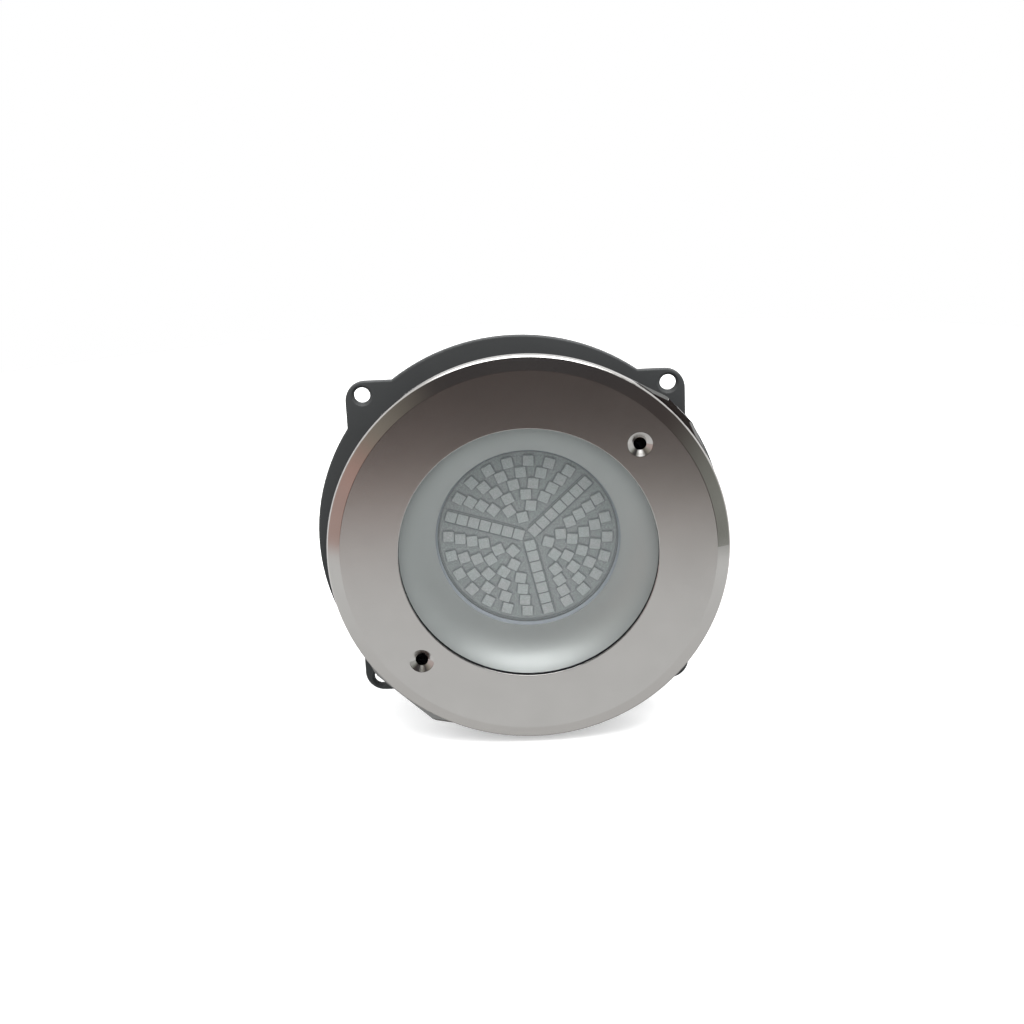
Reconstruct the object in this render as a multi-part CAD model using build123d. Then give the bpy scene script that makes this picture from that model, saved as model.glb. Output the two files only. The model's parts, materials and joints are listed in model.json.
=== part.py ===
"""Underwater pool light: a steel-faced LED lamp unit in a plastic wall niche.

Everything is drawn in a drawing frame whose Z axis is the lamp's own axis: Z is the height
above the wall plane, towards the viewer, X is to the viewer's right and Y is up. place()
then turns the drawing so that the face looks along -Y and +Z is up. The origin is the centre
of the four wall lugs, on the back of the niche flange. Lengths are in millimetres.
"""
from build123d import *
import os
from math import acos, atan2, cos, degrees, hypot, radians, sin

# ---- driving dimensions ------------------------------------------------------------------
FACE = 35.3              # height of the bezel face above the wall plane
LAMP_X = 3.4             # the lamp axis stands this far right of the flange centre
FIT = 0.3                # clearance between the lamp unit and the niche
THREAD_GAP = 0.03        # radial clearance of a drawn thread

# bezel
BEZEL_R = 100.0
OPENING_R = 64.5
PLATE_T = 3.5
BEVEL_R = 93.4           # where the flat face ends and the bevel begins
BEVEL_DROP = 3.2
SKIRT_T = 1.8
SKIRT_DEPTH = 7.1        # from the face to the end of the skirt
SCREW_R = 78.0           # pitch radius of the two bezel screws
SCREW_ANGLES = (44, 224)
SCREW_HOLE_R = 3.2
COUNTERSINK_R = 6.1
COUNTERSINK_DEPTH = 2.1

# back ring with its two ears
BACK_RING_T = 1.8
BACK_RING_R = 99.8
BACK_RING_HOLE_R = 94.0
EARS = (                 # corners of the two ears, as (radius, angle)
    ((103.0, 37.0), (103.0, 47.0)),
    ((102.6, 218.0), (104.5, 240.5)),
)
EAR_SLOPE = 1.3          # chamfer on the front of the ears' tangential runs

# studs that hold the lamp housing to the bezel
STUD_R = 79.5
STUD_RADIUS = 4.0
STUD_ANGLES = (89, 134, 179, 269, 314, 359)

# glass and its seals
GLASS_R = 71.0
GLASS_T = 5.0
SEAL_T = 1.0
LIP_T = 0.4
LIP_SWELL = 0.05         # how far the lip bulges into the opening
LIP_DEPTH = 0.5          # how far the gasket lip stays below the bezel face
LIP_END_DEPTH = 3.1      # and where it turns outwards under the plate

# reflector bowl
BOWL_TOP_R = 67.6
BOWL_TOP_DEPTH = 9.8
BOWL_FOOT_R = 47.0
BOWL_FOOT_DEPTH = 24.0
BOWL_FOOT_T = 0.8
BOWL_BULGE = 3.2         # how far the bowl's curve stands off its chord
BOWL_T = 1.5

# LED group
WINDOW_T = 0.8
WINDOW_R = 48.2
WINDOW_DEPTH = 26.7
WINDOW_RING_R = 45.9     # foot of the conical ring that stands on the window
SPACER_T = 1.8
SPACER_HOLE_R = 45.5
BOARD_T = 1.6
LED_SIZE = 5.5
LED_T = 1.6
LED_CORNER_R = 0.6
LED_PITCH = 5.92
LED_FIRST_RING = 0.82    # radius of the innermost ring, in pitches
LEDS_PER_THIRD = (1, 2, 3, 5, 6, 7, 8)
SPOKE_ANGLE = 42.5
CHANNEL_HALF_WIDTH = 2.85
RIB_T = 0.4
PAD_T = 0.5

# heat sink
SINK_R = 63.5
SINK_T = 5.0
FIN_T = 2.0
FIN_PITCH = 8.0
FIN_LENGTH = 18.0
FIN_CIRCLE_R = 48.0
LEAD_Y = -40.0           # the LED leads rise here
LEAD_RADIUS = 0.8
LEAD_HALF_GAP = 1.4

# lamp housing
HEAD_R = 74.3
POCKET_R = 71.3
HEAD_HOLE_R = 69.3
RIM_R = 85.0             # clamping rim
RIM_T = 5.0
RIM_DEPTH = 24.3         # from the face to the back of the clamping rim
SHOULDER_DEPTH = 20.3
BARREL_R = 67.5
BARREL_WALL = 3.0
HOUSING_BACK_DEPTH = 82.3
HOUSING_FLOOR_T = 4.0
POST_R = 60.5
POST_RADIUS = 5.0

# driver electronics
DRIVER_R = 54.0
DRIVER_T = 1.6
STANDOFF_H = 6.0
STANDOFF_R = 44.0

# niche
FLANGE_R = 103.4
FLANGE_T = 3.0
LUG_SPACING = 152.4
LUG_SIDE_EDGE = 8.5      # from a lug hole to the lug's outer side
LUG_END_EDGE = 7.2       # and to its upper or lower end
LUG_CORNER_R = 10.0
LUG_HOLE_R = 4.0
LUG_RIM_R = 5.4
COLLAR_R = 90.0
COLLAR_WALL = 4.0
COLLAR_TOP_DEPTH = 5.5
CUP_BACK_R = 84.0
CUP_DEPTH = 90.0         # from the wall plane to the outside of the niche back
BOSS_RADIUS = 8.5
BOSS_H = 26.0
INSERT_RADIUS = 4.2
INSERT_H = 13.0

# conduit adaptor in the niche back
CONDUIT_Y = -48.0
CONDUIT_BORE_R = 12.6
CONDUIT_SOCKET_DEPTH = 20.0
CONDUIT_THREAD_R = 13.0

# cable gland in the lamp housing back
GLAND_THREAD_R = 9.9
GLAND_BORE_R = 5.6
CABLE_R = 3.5

# ---- worked-out heights in the drawing frame ---------------------------------------------
PLATE_BACK = FACE - PLATE_T
GLASS_TOP = PLATE_BACK - SEAL_T
GLASS_BACK = GLASS_TOP - GLASS_T
LEDGE = GLASS_BACK - SEAL_T
SKIRT_END = FACE - SKIRT_DEPTH
WINDOW_TOP = FACE - WINDOW_DEPTH
WINDOW_BACK = WINDOW_TOP - WINDOW_T
WINDOW_RING_TOP = FACE - BOWL_FOOT_DEPTH - BOWL_FOOT_T
BOARD_TOP = WINDOW_BACK - SPACER_T
BOARD_BACK = BOARD_TOP - BOARD_T
SINK_TOP = BOARD_BACK - PAD_T
SINK_BACK = SINK_TOP - SINK_T
RIM_BACK = FACE - RIM_DEPTH
SHOULDER = FACE - SHOULDER_DEPTH
HOUSING_BACK = FACE - HOUSING_BACK_DEPTH
HOUSING_FLOOR = HOUSING_BACK + HOUSING_FLOOR_T
DRIVER_BACK = HOUSING_FLOOR + STANDOFF_H
DRIVER_TOP = DRIVER_BACK + DRIVER_T
BOSS_TOP = RIM_BACK - FIT
NICHE_BACK = -CUP_DEPTH
NICHE_FLOOR = NICHE_BACK + COLLAR_WALL

parts = {}


# ---- helpers -----------------------------------------------------------------------------
def polar(radius, angle):
    """The point at this radius and angle in degrees about the lamp axis."""
    return (radius * cos(radians(angle)), radius * sin(radians(angle)))


def rod(radius, low, high, at=(0, 0)):
    """A solid cylinder from one height to another."""
    return Pos(at[0], at[1], (low + high) / 2) * Cylinder(radius, high - low)


def tube(inner, outer, low, high, at=(0, 0)):
    """A ring or tube from one height to another."""
    return rod(outer, low, high, at) - rod(inner, low - 1, high + 1, at)


def cone(low_radius, high_radius, low, high, at=(0, 0)):
    """A cone frustum from one height to another."""
    return Pos(at[0], at[1], (low + high) / 2) * Cone(low_radius, high_radius, high - low)


def hexagon(flats, low, high, at=(0, 0)):
    """A hexagonal prism, given across its flats."""
    outline = RegularPolygon(flats / 2, 6, major_radius=False)
    return Pos(at[0], at[1], low) * extrude(outline, high - low)


def block(length, width, low, high, at=(0, 0), turn=0):
    """A box from one height to another, turned about its own axis."""
    return Pos(at[0], at[1], (low + high) / 2) * Rot(0, 0, turn) * Box(length, width, high - low)


def turned(*outline):
    """A solid of revolution about the lamp axis, from (radius, height) corners."""
    corners = [(radius, 0, height) for radius, height in outline]
    return revolve(make_face(Polyline(*corners, close=True)), Axis.Z)


def circles_at(solid, height, radius):
    """The circular edges at this height with this radius."""
    edges = solid.edges().filter_by(GeomType.CIRCLE)
    return [e for e in edges if abs(e.center().Z - height) < 0.01 and abs(e.radius - radius) < 0.01]


def pan_screw(shank_radius, head_radius, head_h, seat, tip, at):
    """A pan-head screw with a cross recess: its head bears on seat and its shank ends at tip."""
    up = 1 if seat > tip else -1
    crown = seat + up * head_h
    head = rod(head_radius, min(seat, crown), max(seat, crown), at)
    head = fillet(circles_at(head, crown, head_radius), head_h * 0.45)
    slot_low = min(crown, crown - up * head_h * 0.5)
    slot = [block(head_radius * 1.1, 0.7, slot_low, slot_low + head_h * 0.5, at, turn) for turn in (0, 90)]
    return head + rod(shank_radius, min(seat, tip), max(seat, tip), at) - slot[0] - slot[1]


def place(shape):
    """Turn the drawing frame so that the lamp faces -Y, with its axis at LAMP_X."""
    return Pos(LAMP_X, 0, 0) * Rot(90, 0, 0) * shape


def keep(name, *shapes):
    """Put one node's solids in the set that is written at the end."""
    solids = [solid for shape in shapes for solid in place(shape).solids()]
    parts[name] = solids[0] if len(solids) == 1 else Compound(children=solids)


# ---- bezel -------------------------------------------------------------------------------
def bezel():
    """Thick steel face plate with a bevelled edge, a skirt and two countersunk holes."""
    edge = FACE - BEVEL_DROP
    inside = BEZEL_R - SKIRT_T
    body = turned(
        (OPENING_R + 2.4, PLATE_BACK), (OPENING_R + LIP_T, FACE - LIP_END_DEPTH + LIP_T),
        (OPENING_R + LIP_T, FACE - LIP_DEPTH), (OPENING_R, FACE - LIP_DEPTH), (OPENING_R, FACE),
        (BEVEL_R, FACE), (BEZEL_R, edge),
        (BEZEL_R, SKIRT_END), (inside, SKIRT_END), (inside, edge - SKIRT_T * 1.5),
        (BEVEL_R - 1, PLATE_BACK),
    )
    body = fillet(circles_at(body, edge, BEZEL_R), 1.2)
    body = fillet(circles_at(body, FACE, BEVEL_R), 0.8)
    body = fillet(circles_at(body, FACE, OPENING_R), 0.35)
    slope = (COUNTERSINK_R - SCREW_HOLE_R) / COUNTERSINK_DEPTH
    for angle in SCREW_ANGLES:
        at = polar(SCREW_R, angle)
        body -= rod(SCREW_HOLE_R, PLATE_BACK - 1, FACE + 1, at)
        body -= cone(SCREW_HOLE_R, COUNTERSINK_R + slope, FACE - COUNTERSINK_DEPTH, FACE + 1, at)
    return fillet(circles_at(body, FACE, COUNTERSINK_R), 0.4)


def ear_slope(start, end, size):
    """What a chamfer takes off the front of an ear along one straight edge, outside the skirt."""
    (x0, y0), (x1, y1) = start, end
    length = hypot(x1 - x0, y1 - y0)
    along = ((x1 - x0) / length, (y1 - y0) / length, 0)
    origin = (x0 - along[0], y0 - along[1], SKIRT_END)
    plane = Plane(origin=origin, x_dir=(-along[1], along[0], 0), z_dir=along)
    wedge = make_face(Polyline((-size, 0), (1, -size - 1), (1, 1), (-size, 1), close=True))
    return extrude(plane * wedge, length + 2) - rod(BEZEL_R + 0.2, SKIRT_END - 4, SKIRT_END + 4)


def back_ring():
    """Flat polished ring under the skirt: the ends of each ear run tangentially into the ring."""
    top = SKIRT_END
    low = top - BACK_RING_T
    outline = Circle(BACK_RING_R)
    slopes = []
    for corners in EARS:
        first, last = corners[0], corners[-1]
        start = polar(BACK_RING_R, first[1] - degrees(acos(BACK_RING_R / first[0])))
        end = polar(BACK_RING_R, last[1] + degrees(acos(BACK_RING_R / last[0])))
        points = [polar(radius, angle) for radius, angle in corners]
        outline += make_face(Polyline((0, 0), start, *points, end, close=True))
        slopes.append(ear_slope(points[0], start, EAR_SLOPE))
        slopes.append(ear_slope(end, points[-1], EAR_SLOPE))
    body = Pos(0, 0, low) * extrude(outline, BACK_RING_T) - rod(BACK_RING_HOLE_R, low - 1, top + 1)
    outer = [e for e in body.edges().group_by(Axis.Z)[0] if e.center().Z < low + 0.01]
    outer = [e for e in outer if e.geom_type == GeomType.LINE or e.radius > BACK_RING_R - 1]
    body = chamfer(outer, 0.4)
    for slope in slopes:
        body -= slope
    return body


def studs():
    """Spacer studs welded to the back of the bezel, each with a tapped hole."""
    solids = []
    for angle in STUD_ANGLES:
        at = polar(STUD_R, angle)
        low = RIM_BACK + RIM_T
        solids.append(rod(STUD_RADIUS, low, PLATE_BACK, at) - rod(2.0, low - 1, low + 12.5, at))
    return solids


def stud_screws():
    """Pan-head screws that pull the clamping rim against the studs."""
    tip = RIM_BACK + RIM_T + 11.0
    return [pan_screw(2.0 - THREAD_GAP, 3.5, 2.6, RIM_BACK, tip, polar(STUD_R, a)) for a in STUD_ANGLES]


# ---- glass and seals ---------------------------------------------------------------------
def lens_gasket():
    """Black gasket between bezel and glass, with a lip let in flush round the opening."""
    lip_top = FACE - LIP_DEPTH
    lip_end = FACE - LIP_END_DEPTH
    hole = OPENING_R - LIP_SWELL
    wall = OPENING_R + LIP_T - 0.05
    return turned(
        (hole, lip_top), (wall, lip_top), (wall, lip_end + LIP_T), (OPENING_R + 2.4, PLATE_BACK),
        (GLASS_R + 1.5, PLATE_BACK), (GLASS_R + 1.5, GLASS_TOP), (OPENING_R + 1.7, GLASS_TOP), (hole, lip_end),
    )


def lens_glass():
    """Flat tempered glass with ground edges."""
    body = rod(GLASS_R, GLASS_BACK, GLASS_TOP)
    return chamfer(body.edges().filter_by(GeomType.CIRCLE), 0.6)


# ---- reflector ---------------------------------------------------------------------------
def bowl_centre():
    """Centre and radius of the bowl's inner curve, from its two ends and its bulge."""
    foot = (BOWL_FOOT_R, FACE - BOWL_FOOT_DEPTH)
    top = (BOWL_TOP_R, FACE - BOWL_TOP_DEPTH)
    across = top[0] - foot[0]
    rise = top[1] - foot[1]
    chord = hypot(across, rise)
    radius = chord ** 2 / (8 * BOWL_BULGE) + BOWL_BULGE / 2
    back_off = (radius - BOWL_BULGE) / chord
    centre = ((foot[0] + top[0]) / 2 - rise * back_off, (foot[1] + top[1]) / 2 + across * back_off)
    return centre, radius


def reflector_screw_places():
    return [polar(54.0, angle) for angle in (0, 120, 240)]


def reflector():
    """Concave bowl with a foot collar that stands on the heat sink, and three screw bosses."""
    (cx, cz), radius = bowl_centre()
    outer_radius = radius + BOWL_T
    foot_z = FACE - BOWL_FOOT_DEPTH
    collar_r = WINDOW_R + 0.2
    top_angle = atan2(FACE - BOWL_TOP_DEPTH - cz, BOWL_TOP_R - cx)
    foot_angle = atan2(foot_z - cz, BOWL_FOOT_R - cx)
    join_angle = -acos((collar_r + 1.5 - cx) / outer_radius)

    def on_arc(r, angle):
        return (cx + r * cos(angle), 0, cz + r * sin(angle))

    inner = ThreePointArc(
        on_arc(radius, foot_angle), on_arc(radius, (foot_angle + top_angle) / 2), on_arc(radius, top_angle)
    )
    outer = ThreePointArc(
        on_arc(outer_radius, top_angle),
        on_arc(outer_radius, (top_angle + join_angle) / 2),
        on_arc(outer_radius, join_angle),
    )
    rim = Line(inner @ 1, outer @ 0)
    foot = Polyline(
        outer @ 1, (collar_r + 1.5, 0, SINK_TOP), (collar_r, 0, SINK_TOP), (collar_r, 0, WINDOW_RING_TOP),
        (BOWL_FOOT_R, 0, WINDOW_RING_TOP), inner @ 0,
    )
    body = revolve(make_face([inner, rim, outer, foot]), Axis.Z)
    boss_top = foot_z + 0.2
    for at in reflector_screw_places():
        body += rod(3.5, SINK_TOP, boss_top, at)
        body -= rod(1.5, SINK_TOP - 1, boss_top - 1.2, at)
    return body


def reflector_screws():
    tip = FACE - BOWL_FOOT_DEPTH - 1.5
    return [pan_screw(1.5 - THREAD_GAP, 2.8, 2.0, SINK_BACK, tip, at) for at in reflector_screw_places()]


# ---- LED group ---------------------------------------------------------------------------
def led_window():
    body = rod(WINDOW_R, WINDOW_BACK, WINDOW_TOP)
    return chamfer(circles_at(body, WINDOW_TOP, WINDOW_R), 0.3)


def leds(ring_numbers, third, on_spoke):
    """The LEDs of one third of the board: those on the spoke, or those between the spokes."""
    solids = []
    for ring in ring_numbers:
        count = LEDS_PER_THIRD[ring]
        radius = (LED_FIRST_RING + ring) * LED_PITCH
        steps = [0] if on_spoke else range(1, count)
        for step in steps:
            angle = SPOKE_ANGLE + 120 * third + 120 / count * step
            led = extrude(RectangleRounded(LED_SIZE, LED_SIZE, LED_CORNER_R), LED_T)
            led = chamfer(led.faces().sort_by(Axis.Z)[-1].edges(), 0.15)
            at = polar(radius, angle)
            solids.append(Pos(at[0], at[1], BOARD_TOP) * Rot(0, 0, angle) * led)
    return solids


def channel_ribs():
    """Thin bars along both sides of each spoke of LEDs."""
    inner_end, outer_end = 4.0, 43.0
    solids = []
    for third in range(3):
        angle = SPOKE_ANGLE + 120 * third
        for side in (-1, 1):
            bar = Pos((inner_end + outer_end) / 2, side * (CHANNEL_HALF_WIDTH + RIB_T / 2), BOARD_TOP + 0.7)
            solids.append(Rot(0, 0, angle) * bar * Box(outer_end - inner_end, RIB_T, 1.4))
    return solids


def lead_hole(low, high):
    return block(6.0, 4.0, low - 1, high + 1, (0, LEAD_Y))


def heat_sink():
    """Aluminium base plate with parallel fins behind it."""
    body = rod(SINK_R, SINK_BACK, SINK_TOP)
    fin_low = SINK_BACK - FIN_LENGTH
    reach = int(FIN_CIRCLE_R // FIN_PITCH)
    for number in range(-reach, reach):
        y = (number + 0.5) * FIN_PITCH
        body += block(2 * (FIN_CIRCLE_R ** 2 - y ** 2) ** 0.5, FIN_T, fin_low, SINK_BACK, (0, y))
    body -= lead_hole(SINK_BACK, SINK_TOP)
    for at in post_places():
        body -= rod(1.8, SINK_BACK - 1, SINK_TOP + 1, at)
    for at in reflector_screw_places():
        body -= rod(1.8, SINK_BACK - 1, SINK_TOP + 1, at)
    return body


def post_places():
    return [polar(POST_R, angle) for angle in (45, 135, 225, 315)]


def standoff_places():
    return [polar(STANDOFF_R, angle) for angle in (30, 150, 210, 330)]


# ---- lamp housing ------------------------------------------------------------------------
def lamp_housing():
    """Cup with a glass pocket, a clamping rim, posts for the heat sink and driver standoffs."""
    barrel_hole = BARREL_R - BARREL_WALL
    rim_top = RIM_BACK + RIM_T
    pocket_top = GLASS_TOP - FIT
    body = turned(
        (0, HOUSING_BACK), (BARREL_R, HOUSING_BACK), (BARREL_R, RIM_BACK), (RIM_R, RIM_BACK),
        (RIM_R, rim_top), (HEAD_R, rim_top), (HEAD_R, pocket_top), (POCKET_R, pocket_top),
        (POCKET_R, LEDGE), (HEAD_HOLE_R, LEDGE), (HEAD_HOLE_R, SHOULDER), (barrel_hole, SHOULDER),
        (barrel_hole, HOUSING_FLOOR), (0, HOUSING_FLOOR),
    )
    body = fillet(circles_at(body, HOUSING_BACK, BARREL_R), 3)
    for at in post_places():
        body += rod(POST_RADIUS, HOUSING_FLOOR, SINK_BACK, at)
        body -= rod(1.5, SINK_BACK - 12, SINK_BACK + 1, at)
    for at in standoff_places():
        body += rod(4.0, HOUSING_FLOOR, DRIVER_BACK, at)
        body -= rod(1.5, HOUSING_FLOOR, DRIVER_BACK + 1, at)
    for angle in STUD_ANGLES:
        body -= rod(2.3, RIM_BACK - 1, rim_top + 1, polar(STUD_R, angle))
    for angle in SCREW_ANGLES:
        body -= rod(SCREW_HOLE_R + 0.4, RIM_BACK - 1, rim_top + 1, polar(SCREW_R, angle))
    return body - rod(GLAND_THREAD_R + FIT, HOUSING_BACK - 1, HOUSING_FLOOR + 1)


# ---- driver electronics ------------------------------------------------------------------
def driver_board():
    body = tube(8.0, DRIVER_R, DRIVER_BACK, DRIVER_TOP)
    for at in standoff_places():
        body -= rod(1.7, DRIVER_BACK - 1, DRIVER_TOP + 1, at)
    return body


def driver_parts():
    """Components on the driver board, each kind a node of its own."""
    capacitors = []
    for at, radius in (((-30, -12), 6.0), ((-17, -18), 5.0), ((-33, 3), 5.0)):
        can = rod(radius, DRIVER_TOP, DRIVER_TOP + 12.5, at)
        capacitors.append(fillet(circles_at(can, DRIVER_TOP + 12.5, radius), 0.8))
    keep("driver_capacitors", *capacitors)
    core = block(24, 18, DRIVER_TOP, DRIVER_TOP + 12, (28, 8))
    core -= block(14, 20, DRIVER_TOP + 2, DRIVER_TOP + 10, (28, 8))
    keep("driver_transformer_core", core + block(5, 18, DRIVER_TOP + 2, DRIVER_TOP + 10, (28, 8)))
    winding = block(11.6, 22, DRIVER_TOP + 2.3, DRIVER_TOP + 9.7, (28, 8))
    keep("driver_transformer_winding", winding - block(5.2, 18.4, DRIVER_TOP + 1, DRIVER_TOP + 11, (28, 8)))
    keep("driver_inductor", Pos(-8, 26, DRIVER_TOP + 3.6) * Torus(8, 3.5))
    chips = [block(8, 6, DRIVER_TOP, DRIVER_TOP + 2.2, at) for at in ((18, -16), (32, -14), (12, 24))]
    keep("driver_chips", *chips)
    terminal = block(14, 9, DRIVER_TOP, DRIVER_TOP + 9, (0, LEAD_Y))
    for side in (-1, 1):
        terminal -= rod(LEAD_RADIUS + 0.2, DRIVER_TOP + 3, DRIVER_TOP + 10, (side * LEAD_HALF_GAP, LEAD_Y))
    keep("driver_terminal", terminal)


def led_leads():
    """Two leads from the driver terminal to the back of the LED board."""
    return [rod(LEAD_RADIUS, DRIVER_TOP + 3, BOARD_BACK, (s * LEAD_HALF_GAP, LEAD_Y)) for s in (-1, 1)]


# ---- cable gland in the housing back -----------------------------------------------------
def cable_gland():
    """Gland body: thread through the housing back, a hexagon and a rear thread for the cap."""
    hex_top = HOUSING_BACK - 1.5
    body = hexagon(24, hex_top - 6.5, hex_top)
    body += rod(GLAND_THREAD_R, hex_top, HOUSING_FLOOR + 4.5)
    body += rod(8.6, hex_top - 14, hex_top - 6.5)
    return body - rod(GLAND_BORE_R, hex_top - 15, HOUSING_FLOOR + 6)


def gland_seal():
    """Rubber bush that grips the cable inside the gland body."""
    top = HOUSING_BACK - 6
    return tube(CABLE_R, GLAND_BORE_R - THREAD_GAP, top - 12, top)


def gland_cap():
    """Domed hexagonal cap that squeezes the bush."""
    top = HOUSING_BACK - 9.5
    low = HOUSING_BACK - 21
    body = hexagon(22, low + 3, top) + cone(8.0, 11.0, low, low + 3)
    return body - rod(8.6 + THREAD_GAP, low + 2.5, top + 1) - rod(CABLE_R + 0.8, low - 1, low + 3)


# ---- niche -------------------------------------------------------------------------------
def lug_places():
    half = LUG_SPACING / 2
    return [(sx * half - LAMP_X, sy * half) for sx in (-1, 1) for sy in (-1, 1)]


def niche_shell():
    """Flange with four corner lugs, collar, tapered cup and two screw bosses, in one moulding."""
    width = LUG_SPACING + 2 * LUG_SIDE_EDGE
    height = LUG_SPACING + 2 * LUG_END_EDGE
    flange = Circle(FLANGE_R) + RectangleRounded(width, height, LUG_CORNER_R)
    body = Pos(-LAMP_X, 0, 0) * extrude(flange, FLANGE_T)
    outer = [e for e in body.edges() if abs(e.center().Z - FLANGE_T) < 0.01]
    body = fillet(outer, 0.8)
    hole = COLLAR_R - COLLAR_WALL
    top = FACE - COLLAR_TOP_DEPTH
    body += turned(
        (0, NICHE_BACK), (CUP_BACK_R, NICHE_BACK), (COLLAR_R, 0), (COLLAR_R, top), (0, top)
    )
    body -= turned(
        (0, NICHE_FLOOR), (CUP_BACK_R - COLLAR_WALL, NICHE_FLOOR), (hole, 0), (hole, top + 1), (0, top + 1)
    )
    body = fillet(circles_at(body, FLANGE_T, COLLAR_R), 2)
    body = fillet(circles_at(body, top, COLLAR_R), 1)
    body = fillet(circles_at(body, NICHE_BACK, CUP_BACK_R), 5)
    for angle in SCREW_ANGLES:
        at = polar(SCREW_R, angle)
        body += rod(BOSS_RADIUS, BOSS_TOP - BOSS_H, BOSS_TOP, at)
        body -= rod(INSERT_RADIUS + THREAD_GAP, BOSS_TOP - INSERT_H, BOSS_TOP + 1, at)
    for at in lug_places():
        body -= rod(LUG_HOLE_R, -1, FLANGE_T + 1, at)
        body -= cone(LUG_HOLE_R, LUG_RIM_R + 1, FLANGE_T - (LUG_RIM_R - LUG_HOLE_R), FLANGE_T + 1, at)
    return body - rod(CONDUIT_THREAD_R + FIT, NICHE_BACK - 1, NICHE_FLOOR + 1, (0, CONDUIT_Y))


def screw_inserts():
    """Knurled brass inserts for the bezel screws, with an M6 bore."""
    solids = []
    for angle in SCREW_ANGLES:
        at = polar(SCREW_R, angle)
        body = rod(INSERT_RADIUS, BOSS_TOP - INSERT_H, BOSS_TOP, at)
        for height in (4.0, 8.0):
            body -= tube(INSERT_RADIUS - 0.5, INSERT_RADIUS + 1, BOSS_TOP - height - 1, BOSS_TOP - height, at)
        solids.append(body - rod(2.5, BOSS_TOP - INSERT_H - 1, BOSS_TOP + 1, at))
    return solids


def conduit_adaptor():
    """Socket for a 25 mm conduit with a hexagon and a threaded spigot into the niche."""
    at = (0, CONDUIT_Y)
    hex_top = NICHE_BACK - 1.5
    hex_low = hex_top - 6
    end = hex_low - CONDUIT_SOCKET_DEPTH
    body = hexagon(38, hex_low, hex_top, at) + rod(16.0, end, hex_low, at)
    body += rod(CONDUIT_THREAD_R, hex_top, NICHE_FLOOR + 7, at)
    body -= rod(CONDUIT_BORE_R, end - 1, hex_low, at)
    return body - rod(10.0, hex_low - 1, NICHE_FLOOR + 8, at)


# ---- the set of nodes --------------------------------------------------------------------
def build():
    keep("niche_shell", niche_shell())
    keep("screw_inserts", *screw_inserts())
    at = (0, CONDUIT_Y)
    keep("conduit_adaptor", conduit_adaptor())
    keep("conduit_seal", tube(CONDUIT_THREAD_R + FIT, 18.0, NICHE_BACK - 1.5, NICHE_BACK, at))
    nut = hexagon(36, NICHE_FLOOR, NICHE_FLOOR + 5, at)
    keep("conduit_locknut", nut - rod(CONDUIT_THREAD_R + THREAD_GAP, NICHE_FLOOR - 1, NICHE_FLOOR + 6, at))

    keep("bezel", bezel())
    keep("bezel_back_ring", back_ring())
    keep("bezel_studs", *studs())
    keep("stud_screws", *stud_screws())
    keep("lens_gasket", lens_gasket())
    keep("lens_glass", lens_glass())
    keep("glass_seat_seal", tube(HEAD_HOLE_R + 0.2, POCKET_R - 0.2, LEDGE, GLASS_BACK))
    keep("reflector", reflector())
    keep("reflector_screws", *reflector_screws())

    keep("led_window", led_window())
    keep("window_ring", turned(
        (WINDOW_RING_R, WINDOW_TOP), (WINDOW_R, WINDOW_TOP), (WINDOW_R, WINDOW_RING_TOP),
        (BOWL_FOOT_R, WINDOW_RING_TOP),
    ))
    keep("window_spacer", tube(SPACER_HOLE_R, WINDOW_R, BOARD_TOP, WINDOW_BACK))
    keep("led_board", rod(WINDOW_R, BOARD_BACK, BOARD_TOP))
    keep("led_channel_ribs", *channel_ribs())
    every_ring = range(len(LEDS_PER_THIRD))
    spoke_leds = [led for third in range(3) for led in leds(every_ring, third, True)]
    keep("leds_on_spokes", *spoke_leds)
    for third in range(3):
        keep(f"leds_sector_{third + 1}", *leds(every_ring, third, False))
    keep("thermal_pad", rod(WINDOW_R - 1, SINK_TOP, BOARD_BACK) - lead_hole(SINK_TOP, BOARD_BACK))
    keep("heat_sink", heat_sink())
    sink_screws = [pan_screw(1.5 - THREAD_GAP, 2.8, 2.0, SINK_TOP, SINK_BACK - 10, at) for at in post_places()]
    keep("heat_sink_screws", *sink_screws)

    keep("lamp_housing", lamp_housing())
    keep("driver_board", driver_board())
    driver_parts()
    board_screws = [
        pan_screw(1.5 - THREAD_GAP, 2.8, 2.0, DRIVER_TOP, HOUSING_FLOOR + 1, at) for at in standoff_places()
    ]
    keep("driver_screws", *board_screws)
    keep("led_leads", *led_leads())

    keep("cable_gland", cable_gland())
    keep("gland_washer", tube(GLAND_THREAD_R + FIT, 12.5, HOUSING_BACK - 1.5, HOUSING_BACK))
    nut = hexagon(26, HOUSING_FLOOR, HOUSING_FLOOR + 4)
    keep("gland_locknut", nut - rod(GLAND_THREAD_R + THREAD_GAP, HOUSING_FLOOR - 1, HOUSING_FLOOR + 5))
    keep("gland_seal", gland_seal())
    keep("gland_cap", gland_cap())


build()
os.makedirs("parts", exist_ok=True)
for name, shape in parts.items():
    export_step(shape, f"parts/{name}.step")
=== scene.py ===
"""Looks for the underwater pool light: materials, studio, floor and camera round the CAD frame."""
import json
import math

import bpy
from mathutils import Matrix, Vector


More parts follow.
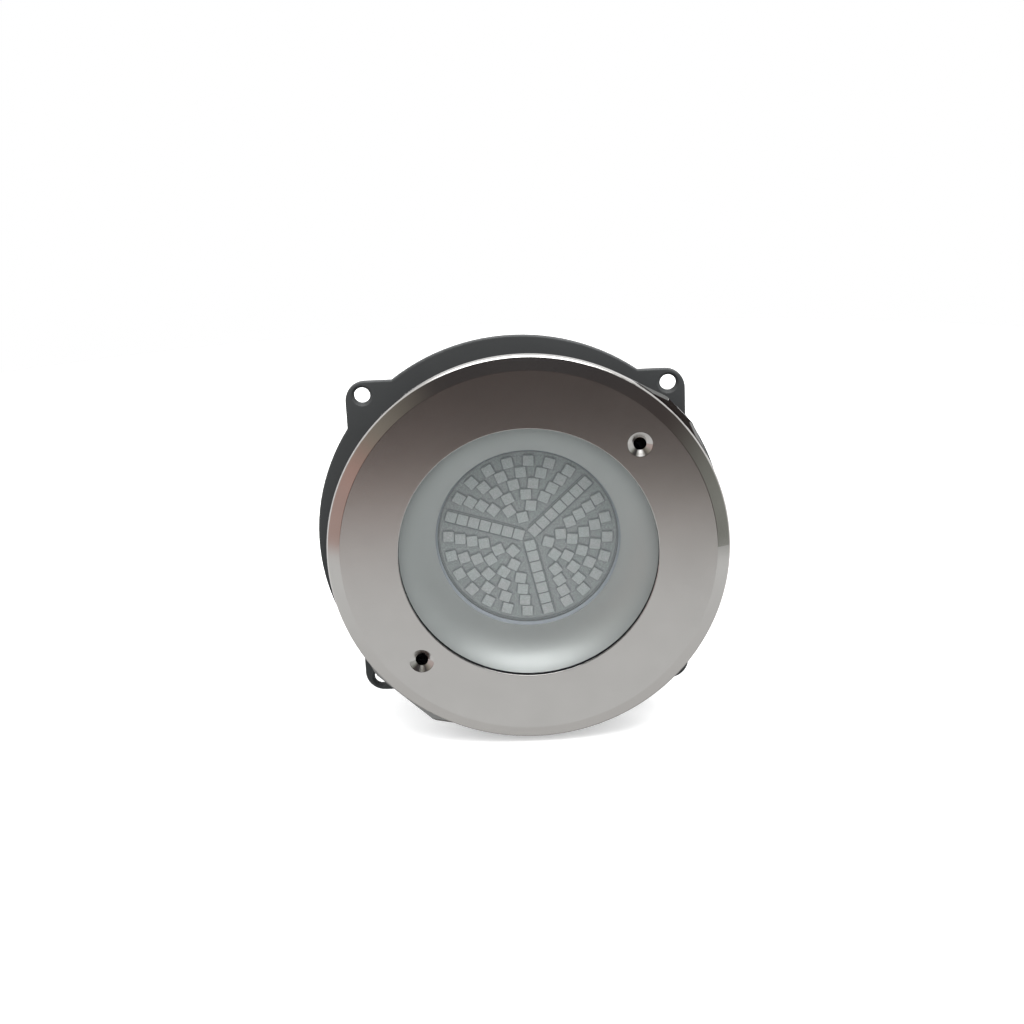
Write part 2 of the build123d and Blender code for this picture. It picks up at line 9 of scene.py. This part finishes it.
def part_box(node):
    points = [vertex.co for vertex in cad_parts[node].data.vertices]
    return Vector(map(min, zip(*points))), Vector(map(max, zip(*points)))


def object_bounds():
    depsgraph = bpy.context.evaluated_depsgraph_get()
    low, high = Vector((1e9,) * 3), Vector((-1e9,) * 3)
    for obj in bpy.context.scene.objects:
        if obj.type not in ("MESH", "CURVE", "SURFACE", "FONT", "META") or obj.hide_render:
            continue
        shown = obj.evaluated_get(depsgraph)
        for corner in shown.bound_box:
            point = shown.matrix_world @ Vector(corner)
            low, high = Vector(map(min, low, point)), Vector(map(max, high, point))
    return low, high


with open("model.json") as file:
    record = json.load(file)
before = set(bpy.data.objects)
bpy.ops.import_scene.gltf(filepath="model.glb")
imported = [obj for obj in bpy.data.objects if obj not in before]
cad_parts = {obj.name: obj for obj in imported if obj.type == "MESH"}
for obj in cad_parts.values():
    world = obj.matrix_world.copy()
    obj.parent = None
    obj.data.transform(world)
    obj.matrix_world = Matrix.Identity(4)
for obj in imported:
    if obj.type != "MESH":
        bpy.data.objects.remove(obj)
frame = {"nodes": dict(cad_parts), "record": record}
CAD_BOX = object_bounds()

# ---- sizes and places, in metres ---------------------------------------------------------
BEZEL_LOW, BEZEL_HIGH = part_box("bezel")
FACE_CENTRE = Vector(
    ((BEZEL_LOW.x + BEZEL_HIGH.x) / 2, BEZEL_LOW.y, (BEZEL_LOW.z + BEZEL_HIGH.z) / 2)
)
CAMERA_DISTANCE = 0.842
CAMERA_ELEVATION = math.radians(19.74)
CAMERA_ROLL = math.radians(-2.43)
CAMERA_LENS = 59.98          # millimetres, on a 36 mm sensor
AIM_RIGHT = -0.00825         # the picture's middle, from the face centre, across the view
AIM_UP = 0.0213

FLOOR_Z = CAD_BOX[0][2] - 0.0002
FLOOR_CENTRE_Y = -0.1
FLOOR_RADIUS = 1.1
FLOOR_SIDES = 96
FLOOR_GLOW = 0.35            # the floor is lit a little from below, like a light table
KEY_PLACE = (0.25, -0.5, 1.3)
KEY_SIZE = (1.4, 1.0)
KEY_WATTS = 22

# ---- the sky -----------------------------------------------------------------------------
# as matt surfaces see it, from below and from above
MATT_LOW = (0.34, 0.41, 0.42)
MATT_HIGH = (1.60, 1.60, 1.60)
# as steel and gloss mirror it: where each part begins and where it is full, along one axis
BELOW = (-0.278, -0.342)     # z, the pale ground in front
BELOW_LEAN = 0.04            # the ground begins lower at the right, by this share of x
DEEP_BELOW = (-0.45, -0.9)   # z
ABOVE = (0.67, 0.80)         # z, the pale wall over the dark front
OVERHEAD = (0.78, 0.92)      # z, the bright ceiling
LEFT = (-0.42, -1.10)        # x
RIGHT = (0.66, 1.0)          # x
BEHIND = (-0.35, 0.05)       # y
FRONT_LOW = (0.075, 0.060, 0.056)    # the dark front, where the photographer stands
FRONT_HIGH = (0.058, 0.053, 0.054)
EDGE_LEFT_LOW = (0.50, 0.29, 0.24)   # the tints at the edges of the dark front
EDGE_LEFT_HIGH = (0.34, 0.31, 0.26)
EDGE_RIGHT = (0.29, 0.30, 0.27)
PALE_FRONT = (0.79, 0.80, 0.795)
PALE_BEHIND = (1.0, 1.0, 1.0)
GROUND_FRONT = (0.70, 0.70, 0.69)
GROUND_BEHIND = (0.28, 0.27, 0.26)
CEILING_LEFT = (4.6, 4.6, 4.6)
CEILING_RIGHT = (6.2, 6.2, 6.2)


# ---- node helpers ------------------------------------------------------------------------
class Nodes:
    """A node tree, with short calls for the nodes that the materials and the sky here use."""

    def __init__(self, tree):
        self.tree = tree

    def node(self, kind, inputs=None, **settings):
        made = self.tree.nodes.new(kind)
        for key, value in settings.items():
            setattr(made, key, value)
        for key, value in (inputs or {}).items():
            self.feed(made.inputs[key], value)
        return made

    def feed(self, socket, value):
        if isinstance(value, bpy.types.NodeSocket):
            self.tree.links.new(value, socket)
        else:
            socket.default_value = value

    def ramp(self, value, low, high, start=0.0, end=1.0, smooth=False):
        """Map value from low..high to start..end, where the ends are numbers or colours."""
        if isinstance(start, (int, float)):
            inputs = {"Value": value, "From Min": low, "From Max": high, "To Min": start, "To Max": end}
            kind = "SMOOTHSTEP" if smooth else "LINEAR"
            return self.node("ShaderNodeMapRange", inputs, interpolation_type=kind).outputs[0]
        return self.blend(self.ramp(value, low, high, smooth=smooth), start, end)

    def blend(self, share, start, end):
        """Mix two colours, given as numbers or as sockets."""
        mix = self.node("ShaderNodeMix", {"Factor": share}, data_type="RGBA")
        for key, colour in (("A", start), ("B", end)):
            self.feed(mix.inputs[key], colour if isinstance(colour, bpy.types.NodeSocket) else (*colour, 1))
        return mix.outputs["Result"]

    def maths(self, operation, *values):
        made = self.node("ShaderNodeMath", operation=operation)
        for socket, value in zip(made.inputs, values):
            self.feed(socket, value)
        return made.outputs[0]


class Shader(Nodes):
    """A material with its Principled shader."""

    def __init__(self, name):
        self.material = bpy.data.materials.new(name)
        self.material.use_nodes = True
        super().__init__(self.material.node_tree)
        self.bsdf = next(n for n in self.tree.nodes if n.type == "BSDF_PRINCIPLED")
        self.place = self.node("ShaderNodeTexCoord").outputs["Object"]

    def set(self, **sockets):
        for key, value in sockets.items():
            self.feed(self.bsdf.inputs[key.replace("_", " ")], value)

    def noise(self, scale, detail=3.0, roughness=0.5):
        inputs = {"Vector": self.place, "Scale": scale, "Detail": detail, "Roughness": roughness}
        return self.node("ShaderNodeTexNoise", inputs).outputs["Fac"]

    def facing(self, axis):
        """How squarely the surface faces along an axis of the object, 0 to 1."""
        normal = self.node("ShaderNodeTexCoord").outputs["Normal"]
        parts = self.node("ShaderNodeSeparateXYZ", {"Vector": normal})
        return self.maths("ABSOLUTE", parts.outputs[axis])

    def bump(self, height, distance, strength):
        inputs = {"Height": height, "Distance": distance, "Strength": strength}
        return self.node("ShaderNodeBump", inputs).outputs["Normal"]


def dress(material, *names):
    """Give CAD nodes this material."""
    for name in names:
        mesh = frame["nodes"][name].data
        mesh.materials.clear()
        mesh.materials.append(material)


# ---- materials ---------------------------------------------------------------------------
def shaded(colour, share):
    return tuple(min(1.0, c * share) for c in colour)


def satin_steel(name, colour, roughness, grain=1.0):
    """Stainless steel with a fine random grain and faint, broad variations."""
    s = Shader(name)
    fine = s.noise(2600 * grain, 2.0, 0.6)
    broad = s.noise(38, 4.0, 0.55)
    tone = s.ramp(broad, 0.3, 0.7, shaded(colour, 0.97), shaded(colour, 1.03))
    rough = s.ramp(fine, 0.25, 0.75, roughness * 0.85, roughness * 1.15)
    s.set(Base_Color=tone, Metallic=1.0, Roughness=rough)
    s.set(Normal=s.bump(fine, 0.00002, 0.4))
    return s.material


def bowl_coating():
    """Satin metal-coated plastic: partly mirror, partly matt, with a very fine grain."""
    s = Shader("bowl_coating")
    fine = s.noise(1800, 2.0, 0.6)
    broad = s.noise(30, 3.0)
    tone = s.ramp(broad, 0.3, 0.7, (0.435, 0.455, 0.45), (0.465, 0.485, 0.478))
    s.set(Base_Color=tone, Metallic=0.75, Roughness=s.ramp(fine, 0.25, 0.75, 0.46, 0.56))
    s.set(Normal=s.bump(fine, 0.00003, 0.5))
    return s.material


def moulded_plastic(name, colour, roughness, specular=0.5):
    """Moulded plastic with a fine spark-eroded grain and slightly uneven gloss."""
    s = Shader(name)
    grain = s.noise(900, 3.0, 0.6)
    broad = s.noise(25, 3.0)
    tone = s.ramp(broad, 0.3, 0.7, shaded(colour, 0.94), shaded(colour, 1.06))
    rough = s.ramp(broad, 0.3, 0.7, roughness * 0.92, min(1.0, roughness * 1.08))
    s.set(Base_Color=tone, Roughness=rough)
    s.set(Specular_IOR_Level=specular, Normal=s.bump(grain, 0.00004, 0.6))
    return s.material


def speckled_board():
    """Matt solder mask with the fine mottling of filled resin under it, and painted shade where other parts
    stand close to it.
    """
    s = Shader("board_mask")
    fine = s.noise(1000, 4.0, 0.8)
    hue = s.ramp(s.noise(120, 3.0), 0.4, 0.6, (0.19, 0.21, 0.20), (0.215, 0.205, 0.208))
    tone = s.blend(s.ramp(fine, 0.35, 0.65), (0.11, 0.12, 0.117), s.blend(0.3, hue, (0.36, 0.37, 0.36)))
    # painted shade: ambient occlusion darkens the mask towards near black next to the LEDs and other close
    # parts
    shade = s.node("ShaderNodeAmbientOcclusion", {"Distance": 0.0013}, samples=8).outputs["AO"]
    tone = s.blend(s.ramp(shade, 0.5, 0.92), (0.03, 0.03, 0.03), tone)
    s.set(Base_Color=tone, Roughness=0.7, Normal=s.bump(fine, 0.0001, 0.5))
    return s.material


def led_package():
    """LED packages: a pale face, with painted shade making the side walls nearly black."""
    s = Shader("led_package")
    fine = s.noise(1200, 3.0, 0.75)
    hue = s.ramp(s.noise(120, 3.0), 0.4, 0.6, (0.375, 0.40, 0.385), (0.40, 0.39, 0.385))
    face = s.blend(s.ramp(fine, 0.3, 0.7), (0.235, 0.245, 0.237), hue)
    # painted shade: surfaces that don't face along Y, the side walls, are coloured nearly black
    tone = s.blend(s.ramp(s.facing("Y"), 0.5, 0.9), (0.008, 0.008, 0.008), face)
    s.set(Base_Color=tone, Roughness=0.55, Normal=s.bump(fine, 0.00006, 0.5))
    return s.material


def clear_sheet(name, tint, gloss_roughness, haze):
    """A clear pane: mostly see-through, with a thin milky haze and a mirror share by angle."""
    s = Shader(name)
    s.set(Base_Color=(*tint, 1), Roughness=gloss_roughness, Alpha=haze)
    s.set(Specular_IOR_Level=1.0)
    return s.material


materials = {
    "face_steel": satin_steel("face_steel", (0.56, 0.545, 0.53), 0.13),
    "polished_steel": satin_steel("polished_steel", (0.25, 0.25, 0.247), 0.10, 0.5),
    "screw_steel": satin_steel("screw_steel", (0.62, 0.62, 0.60), 0.3),
    "insert_brass": satin_steel("insert_brass", (0.72, 0.52, 0.22), 0.3),
    "sink_aluminium": satin_steel("sink_aluminium", (0.72, 0.73, 0.74), 0.35),
    "ferrite": moulded_plastic("ferrite", (0.07, 0.07, 0.075), 0.6),
    "copper_wire": satin_steel("copper_wire", (0.70, 0.34, 0.16), 0.35),
    "niche_plastic": moulded_plastic("niche_plastic", (0.048, 0.0495, 0.0505), 0.55, 0.3),
    "conduit_plastic": moulded_plastic("conduit_plastic", (0.30, 0.32, 0.33), 0.45),
    "black_nylon": moulded_plastic("black_nylon", (0.025, 0.025, 0.027), 0.45),
    "housing_plastic": moulded_plastic("housing_plastic", (0.035, 0.037, 0.04), 0.5),
    "black_rubber": moulded_plastic("black_rubber", (0.008, 0.008, 0.009), 0.8, 0.08),
    "grey_rubber": moulded_plastic("grey_rubber", (0.12, 0.12, 0.13), 0.7),
    "spacer_plastic": moulded_plastic("spacer_plastic", (0.20, 0.218, 0.242), 0.45),
    "board_mask": speckled_board(),
    "rib_plastic": moulded_plastic("rib_plastic", (0.05, 0.055, 0.055), 0.5),
    "led_package": led_package(),
    "pad_silicone": moulded_plastic("pad_silicone", (0.45, 0.55, 0.6), 0.7),
    "circuit_green": moulded_plastic("circuit_green", (0.02, 0.16, 0.07), 0.35),
    "capacitor_can": moulded_plastic("capacitor_can", (0.015, 0.02, 0.05), 0.3),
    "chip_plastic": moulded_plastic("chip_plastic", (0.02, 0.02, 0.02), 0.5),
    "terminal_plastic": moulded_plastic("terminal_plastic", (0.03, 0.22, 0.12), 0.35),
    "lead_insulation": moulded_plastic("lead_insulation", (0.5, 0.03, 0.02), 0.4),
    "bowl_coating": bowl_coating(),
    "front_glass": clear_sheet("front_glass", (0.8, 0.87, 0.87), 0.03, 0.05),
    "window_sheet": clear_sheet("window_sheet", (0.72, 0.78, 0.8), 0.1, 0.07),
}
for part in frame["record"]["subparts"]:
    dress(materials[part["material_slot"]], part["node"])


# ---- studio ------------------------------------------------------------------------------
def floor():
    mesh = bpy.data.meshes.new("floor")
    angles = [math.tau * i / FLOOR_SIDES for i in range(FLOOR_SIDES)]
    rim = [
        (FLOOR_RADIUS * math.cos(a), FLOOR_CENTRE_Y + FLOOR_RADIUS * math.sin(a), FLOOR_Z)
        for a in angles
    ]
    mesh.from_pydata(rim, [], [tuple(range(FLOOR_SIDES))])
    made = bpy.data.objects.new("floor", mesh)
    bpy.context.scene.collection.objects.link(made)
    s = Shader("floor_paper")
    tone = s.ramp(s.noise(3.0), 0.3, 0.7, (0.86, 0.86, 0.86), (0.88, 0.88, 0.88))
    s.set(Base_Color=tone, Roughness=0.9)
    s.set(Emission_Color=(1, 1, 1, 1), Emission_Strength=FLOOR_GLOW)
    mesh.materials.append(s.material)
    made.visible_glossy = False
    made.visible_diffuse = False


def softbox(name, place, target, size, power):
    """A large soft lamp. It shines on matt surfaces, and the sky gives the gloss its reflections."""
    data = bpy.data.lights.new(name, "AREA")
    data.shape = "RECTANGLE"
    data.size, data.size_y = size
    data.energy = power
    made = bpy.data.objects.new(name, data)
    made.location = place
    made.rotation_euler = (Vector(target) - Vector(place)).to_track_quat("-Z", "Y").to_euler()
    made.visible_glossy = False
    bpy.context.scene.collection.objects.link(made)


def sky():
    """A white studio, darker in front where the photographer stands, as the steel mirrors it."""
    world = bpy.data.worlds.new("studio")
    bpy.context.scene.world = world
    world.use_nodes = True
    n = Nodes(world.node_tree)
    way = n.node("ShaderNodeSeparateXYZ", {"Vector": n.node("ShaderNodeTexCoord").outputs["Generated"]})
    x, y, z = way.outputs

    below = n.ramp(n.maths("MULTIPLY_ADD", x, BELOW_LEAN, z), *BELOW, smooth=True)
    above = n.ramp(z, *ABOVE, smooth=True)
    left = n.ramp(x, *LEFT)
    right = n.ramp(x, *RIGHT, smooth=True)
    behind = n.ramp(y, *BEHIND, smooth=True)
    open_left = n.maths("SUBTRACT", 1.0, n.maths("MAXIMUM", left, behind))
    open_right = n.maths("SUBTRACT", 1.0, n.maths("MAXIMUM", right, behind))
    level = n.maths("SUBTRACT", 1.0, n.maths("MAXIMUM", below, above))
    in_front = n.maths("MULTIPLY", level, n.maths("MULTIPLY", open_left, open_right))
    lit = n.maths("SUBTRACT", 1.0, in_front)

    edge_left = n.blend(n.ramp(z, 0.05, 0.30, smooth=True), EDGE_LEFT_LOW, EDGE_LEFT_HIGH)
    edge = n.blend(n.ramp(x, -0.3, 0.3), edge_left, EDGE_RIGHT)
    front = n.blend(n.ramp(z, 0.25, 0.60), FRONT_LOW, FRONT_HIGH)
    dark = n.blend(n.ramp(lit, 0.0, 0.45), front, edge)

    ground = n.blend(n.ramp(y, 0.0, 0.3), GROUND_FRONT, GROUND_BEHIND)
    pale = n.blend(behind, PALE_FRONT, PALE_BEHIND)
    pale = n.blend(n.ramp(z, *DEEP_BELOW), pale, ground)
    ceiling = n.blend(n.ramp(x, -0.5, 0.5), CEILING_LEFT, CEILING_RIGHT)
    bright = n.blend(n.ramp(z, *OVERHEAD, smooth=True), pale, ceiling)

    mirrored = n.blend(n.ramp(lit, 0.45, 1.0), dark, bright)
    matt = n.blend(n.ramp(z, -0.5, 0.5), MATT_LOW, MATT_HIGH)
    rays = n.node("ShaderNodeLightPath").outputs
    plain = n.blend(rays["Is Camera Ray"], matt, (1.0, 1.0, 1.0))
    colour = n.blend(rays["Is Glossy Ray"], plain, mirrored)
    n.feed(world.node_tree.nodes["Background"].inputs["Color"], colour)


def camera():
    data = bpy.data.cameras.new("camera")
    data.lens = CAMERA_LENS
    data.clip_start = 0.01
    made = bpy.data.objects.new("camera", data)
    back = Vector((0, -math.cos(CAMERA_ELEVATION), math.sin(CAMERA_ELEVATION)))
    spot = FACE_CENTRE + back * CAMERA_DISTANCE
    level = (-back).to_track_quat("-Z", "Y").to_matrix()
    rolled = level @ Matrix.Rotation(CAMERA_ROLL, 3, "Z")
    aim = FACE_CENTRE + rolled @ Vector((AIM_RIGHT, AIM_UP, 0))
    turn = back.rotation_difference(spot - aim).to_matrix()
    made.matrix_world = Matrix.Translation(spot) @ (turn @ rolled).to_4x4()
    bpy.context.scene.collection.objects.link(made)
    bpy.context.scene.camera = made


floor()
sky()
softbox("key", KEY_PLACE, FACE_CENTRE, KEY_SIZE, KEY_WATTS)
camera()
bpy.context.scene.view_settings.view_transform = "Standard"
